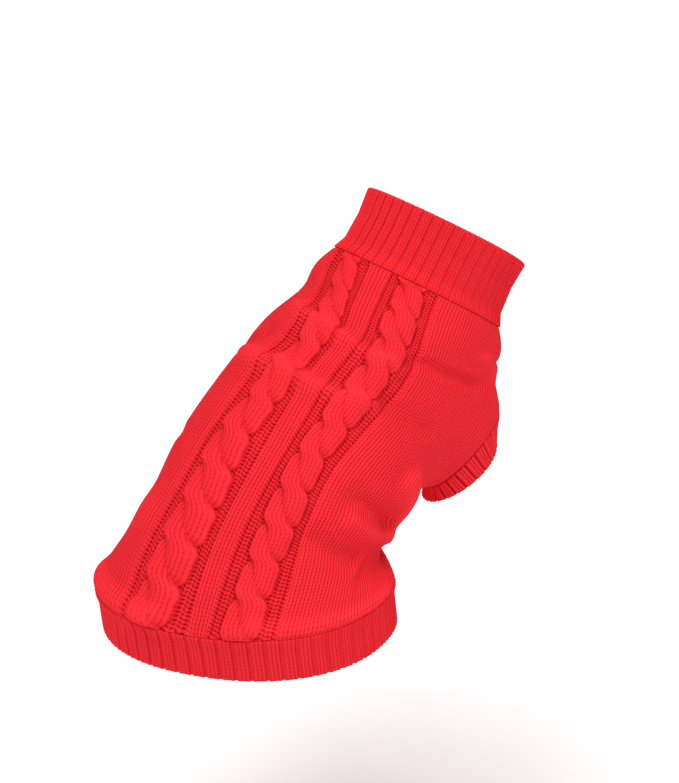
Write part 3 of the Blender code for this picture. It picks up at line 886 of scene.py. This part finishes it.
def add_ribbed_tube(name, band, middle, facing):
    """A ribbed band. middle(turn, travel) gives its points and outward directions.

    facing is 1 where travel runs with the turn's right-hand rule and -1 against it.
    """
    wales = np.arange(band.ribs * RIB_COLUMNS + 1) * RIB_WALES / RIB_COLUMNS
    turn = 2.0 * math.pi * wales[:-1] / (band.ribs * RIB_WALES)
    travels, rounding, sides = edge_profile(band.height)
    outside, inside = rib_height(wales[:-1]), rib_height(wales[:-1] + RIB_WALES / 2)
    relief = np.where(sides[:, None] > 0.0, outside, inside)
    near_edge = smooth_step(1.0 - (band.height - travels) / SCALLOP_REACH)[:, None]
    points, outward = middle(turn, travels[:, None] + RIB_SCALLOP * near_edge * outside)
    depth = sides[:, None] * rounding[:, None] * (RIB_WALL / 2 + relief)
    points = points + depth[..., None] * outward
    faces = quads(closed(np.arange(depth.size).reshape(depth.shape)))[:, ::facing]
    courses = np.append(travels, travels[0]) / COURSE
    stitches = stitch_corners(*np.broadcast_arrays(wales, courses[:, None]))[:, :, ::facing]
    kinds = np.full(len(faces), SOFT_KNIT)
    # Painted shade in the grooves between the ribs and painted highlight on their lips, scaled for each
    # band.
    painted_shade_and_light = band.groove_painted_shade * painted_shade_from_relief(relief)
    piece = new_piece(name, points.reshape(-1, 3), faces.tolist(), stitches, kinds, painted_shade_and_light)


def section_tube(along, direction, height, insets):
    """middle() for a band that carries on from an end section of the body."""
    axis = section_axes(along)[2]
    shares, depths = zip(*insets)

    def middle(turn, travel):
        ring = ring_point(np.full(len(turn), along), turn)
        lean = ring - section_centre(along)
        outward = unit(lean - (lean @ axis)[:, None] * axis)
        inset = np.interp(travel / height, shares, depths)
        points = ring + direction * travel[..., None] * axis - inset[..., None] * outward
        return points, np.broadcast_to(outward, points.shape)

    return middle


def cuff_row(ring, turn, side):
    """One ring of a cuff and its outward directions."""
    axis, across_way, along_way = ring_axes(ring)
    by_across = np.sin(turn)[:, None] * across_way
    by_along = np.cos(turn)[:, None] * along_way
    points = np.array(ring.centre) + ring.half_across * by_across + ring.half_along * by_along
    outward = unit(by_across / ring.half_across + by_along / ring.half_along)
    sides = np.full(len(turn), side)
    placed = from_arm_section(points, sides)
    return placed, unit(from_arm_section(points + outward, sides) - placed)


def cuff_tube(side):
    """middle() for a cuff, between its sewn and its free ring."""

    def middle(turn, travel):
        seam, seam_way = cuff_row(CUFF_SEAM, turn, side)
        edge, edge_way = cuff_row(CUFF_EDGE, turn + math.radians(CUFF_TWIST), side)
        share = travel[..., None] / CUFF.height
        return seam + (edge - seam) * share, unit(seam_way + (edge_way - seam_way) * share)

    return middle


def add_bands():
    """The hem band, the collar and both cuffs."""
    hem = section_tube(0.0, -1.0, HEM_BAND.height, HEM_BAND_INSETS)
    add_ribbed_tube("hem_band", HEM_BAND, hem, -1)
    neck = section_tube(1.0, 1.0, COLLAR.height, COLLAR_INSETS)
    add_ribbed_tube("collar", COLLAR, neck, 1)
    for name, side in (("cuff_right", 1), ("cuff_left", -1)):
        add_ribbed_tube(name, CUFF, cuff_tube(side), -side)


class Tree:
    """A material's nodes, and short ways to add more of them."""

    def __init__(self, material):
        material.use_nodes = True
        self.nodes = material.node_tree.nodes
        self.links = material.node_tree.links
        self.shader = self.nodes["Principled BSDF"]

    def add(self, kind, inputs=(), **settings):
        """A node with its settings and with inputs given by name or number."""
        node = self.nodes.new(kind)
        for key, value in settings.items():
            setattr(node, key, value)
        for key, value in dict(inputs).items():
            if isinstance(value, bpy.types.NodeSocket):
                self.links.new(value, node.inputs[key])
            else:
                node.inputs[key].default_value = value
        return node

    def math(self, operation, *values):
        """A Math node's result."""
        return self.add("ShaderNodeMath", dict(enumerate(values)), operation=operation).outputs[0]

    def wave(self, turns):
        """0 to 1 and back for each whole turn."""
        cosine = self.math("COSINE", self.math("MULTIPLY", turns, 2.0 * math.pi))
        return self.math("MULTIPLY_ADD", cosine, -0.5, 0.5)

    def noise(self, place, scale):
        """A Noise Texture node."""
        return self.add("ShaderNodeTexNoise", {"Vector": place, "Scale": scale, "Detail": NOISE_DETAIL})

    def mix(self, factor, low, high):
        """A colour between two others."""
        inputs = {MIX_FACTOR: factor, MIX_LOW: low, MIX_HIGH: high}
        return self.add("ShaderNodeMix", inputs, data_type="RGBA").outputs[MIX_RESULT]


def knit_height_node(tree, wale, course):
    """0 to 1: a rounded wale whose sides dip into one hole for each stitch."""
    centred = tree.math("SUBTRACT", tree.math("FRACT", wale), 0.5)
    aside = tree.math("MULTIPLY", tree.math("ABSOLUTE", centred), 2.0)
    slant = tree.math("SUBTRACT", course, tree.math("MULTIPLY", aside, STITCH_SLANT))
    depth = tree.math("MULTIPLY_ADD", tree.wave(slant), STITCH_HOLE, 1.0 - STITCH_HOLE)
    drop = tree.math("MULTIPLY", tree.math("POWER", aside, STITCH_ROUNDNESS), depth)
    return tree.math("SUBTRACT", 1.0, drop)


def purl_height_node(tree, wale, course):
    """0 to 1: bars that zigzag from wale to wale, with a low dash below each stitch that the yarn paints in
    shade.
    """
    pair = tree.math("FRACT", tree.math("MULTIPLY", wale, 0.5))
    zigzag = tree.math("MULTIPLY", tree.math("ABSOLUTE", tree.math("SUBTRACT", pair, 0.5)), 2.0)
    slanted = tree.math("MULTIPLY_ADD", wale, PURL_SLANT, course)
    bar = tree.math("MULTIPLY_ADD", zigzag, PURL_LEAN, slanted)
    strength = tree.math("MULTIPLY_ADD", tree.wave(wale), PURL_BREAK, 1.0 - PURL_BREAK)
    return tree.math("SUBTRACT", 1.0, tree.math("MULTIPLY", tree.wave(bar), strength))


def wobbling_stitches(tree, space):
    """The stitch grid's wale and course at each place, pushed about a little as real stitches are."""
    place = tree.add("ShaderNodeUVMap", uv_map="stitches").outputs[0]
    wobble = tree.noise(space, WOBBLE_SCALE).outputs["Color"]
    span, least = (WOBBLE,) * 3, (-WOBBLE / 2,) * 3
    shift = tree.add("ShaderNodeVectorMath", {0: wobble, 1: span, 2: least}, operation="MULTIPLY_ADD")
    moved = tree.add("ShaderNodeVectorMath", {0: place, 1: shift.outputs[0]}, operation="ADD")
    split = tree.add("ShaderNodeSeparateXYZ", {0: moved.outputs[0]})
    return split.outputs[0], split.outputs[1]


def varied(tree, value, space, scale, share):
    """A value with noise added to it."""
    noise = tree.noise(space, scale).outputs[0]
    return tree.math("MULTIPLY_ADD", tree.math("SUBTRACT", noise, 0.5), share, value)


def yarn(name, height_node, contrast, bump):
    """Red acrylic yarn: stitches in bump and in colour, with painted shade in their holes and in dips,
    painted highlights on crests, loose fibres and a soft sheen.
    """
    material = bpy.data.materials.new(name)
    tree = Tree(material)
    space = tree.add("ShaderNodeTexCoord").outputs["Object"]
    wale, course = wobbling_stitches(tree, space)
    fuzzy = varied(tree, height_node(tree, wale, course), space, FIBRE_SCALE, FIBRE_SHARE)
    # Painted shade in the stitch holes: the lower a place lies in its stitch, the darker it is.
    shade = tree.math("MULTIPLY_ADD", fuzzy, contrast, YARN_LEVEL - contrast)
    uneven = varied(tree, shade, space, PATCH_SCALE, PATCH_SHARE)
    # Painted shade in dips and painted highlights on crests, from the mesh's attribute.
    painted_shading = tree.add("ShaderNodeAttribute", attribute_name="painted_shading").outputs["Fac"]
    shaded = tree.math("MULTIPLY_ADD", painted_shading, -PAINTED_SHADE_SHARE, uneven)
    colour = tree.mix(tree.add("ShaderNodeClamp", {0: shaded}).outputs[0], YARN_PAINTED_SHADE, YARN_TOP_AND_PAINTED_HIGHLIGHT)
    tree.links.new(colour, tree.shader.inputs["Base Color"])
    raised = tree.add("ShaderNodeBump", {"Height": fuzzy, "Strength": 1.0, "Distance": bump * METRES_PER_MM})
    tree.links.new(raised.outputs[0], tree.shader.inputs["Normal"])
    tree.shader.inputs["Roughness"].default_value = YARN_ROUGHNESS
    tree.shader.inputs["Specular IOR Level"].default_value = YARN_GLOSS
    tree.shader.inputs["Sheen Weight"].default_value = SHEEN
    tree.shader.inputs["Sheen Roughness"].default_value = SHEEN_ROUGHNESS
    tree.shader.inputs["Sheen Tint"].default_value = SHEEN_TINT
    return material


def add_floor():
    """A plain pale floor below the sweater."""
    mesh = bpy.data.meshes.new("floor")
    half, low = FLOOR_HALF_SIZE, FLOOR_HEIGHT
    corners = [(-half, -half, low), (half, -half, low), (half, half, low), (-half, half, low)]
    mesh.from_pydata(corners, [], [(0, 1, 2, 3)])
    material = bpy.data.materials.new("floor")
    tree = Tree(material)
    space = tree.add("ShaderNodeTexCoord").outputs["Object"]
    grain = tree.noise(space, FLOOR_GRAIN_SCALE).outputs[0]
    tree.links.new(tree.mix(grain, FLOOR_DARK, FLOOR_LIGHT), tree.shader.inputs["Base Color"])
    tree.shader.inputs["Roughness"].default_value = FLOOR_ROUGHNESS
    mesh.materials.append(material)
    floor = bpy.data.objects.new("floor", mesh)
    bpy.context.scene.collection.objects.link(floor)


def facing_matrix(azimuth, elevation, aim, distance):
    """Where something stands that looks at aim; azimuth 0 looks along +Y."""
    turn, tilt = math.radians(azimuth), math.radians(elevation)
    right = np.array([math.cos(turn), math.sin(turn), 0.0])
    back = np.array([math.sin(turn) * math.cos(tilt), -math.cos(turn) * math.cos(tilt), math.sin(tilt)])
    columns = (right, np.cross(back, right), back, np.array(aim) + back * distance)
    matrix = np.identity(4)
    matrix[:3] = np.stack(columns, axis=1)
    return Matrix(matrix.tolist())


def add_camera():
    """The camera, behind the wearer, to its right and above it."""
    data = bpy.data.cameras.new("camera")
    data.sensor_width = CAMERA_SENSOR
    data.lens = CAMERA_LENS
    camera = bpy.data.objects.new("camera", data)
    camera.matrix_world = facing_matrix(CAMERA_AZIMUTH, CAMERA_ELEVATION, CAMERA_AIM, CAMERA_DISTANCE)
    bpy.context.scene.collection.objects.link(camera)
    bpy.context.scene.camera = camera


def add_lights():
    """A white studio: wide soft lights and an even white surrounding."""
    for sun in SOFT_SUNS:
        data = bpy.data.lights.new(sun.name, "SUN")
        data.angle = math.radians(sun.spread)
        data.energy = sun.strength
        light = bpy.data.objects.new(sun.name, data)
        light.matrix_world = facing_matrix(sun.azimuth, sun.elevation, CAMERA_AIM, CAMERA_DISTANCE)
        bpy.context.scene.collection.objects.link(light)
    world = bpy.data.worlds.new("studio")
    world.use_nodes = True
    world.node_tree.nodes["Background"].inputs["Color"].default_value = WORLD_COLOUR
    world.node_tree.nodes["Background"].inputs["Strength"].default_value = WORLD_STRENGTH
    bpy.context.scene.world = world
    bpy.context.scene.view_settings.view_transform = "Standard"


YARNS = (
    yarn("red_knit", knit_height_node, KNIT_CONTRAST, KNIT_BUMP),
    yarn("red_purl", purl_height_node, PURL_CONTRAST, PURL_BUMP),
    yarn("red_soft_knit", knit_height_node, SOFT_KNIT_CONTRAST, SOFT_KNIT_BUMP),
)
add_camera()
add_back_panel()
add_belly_panel()
add_bands()
add_floor()
add_lights()
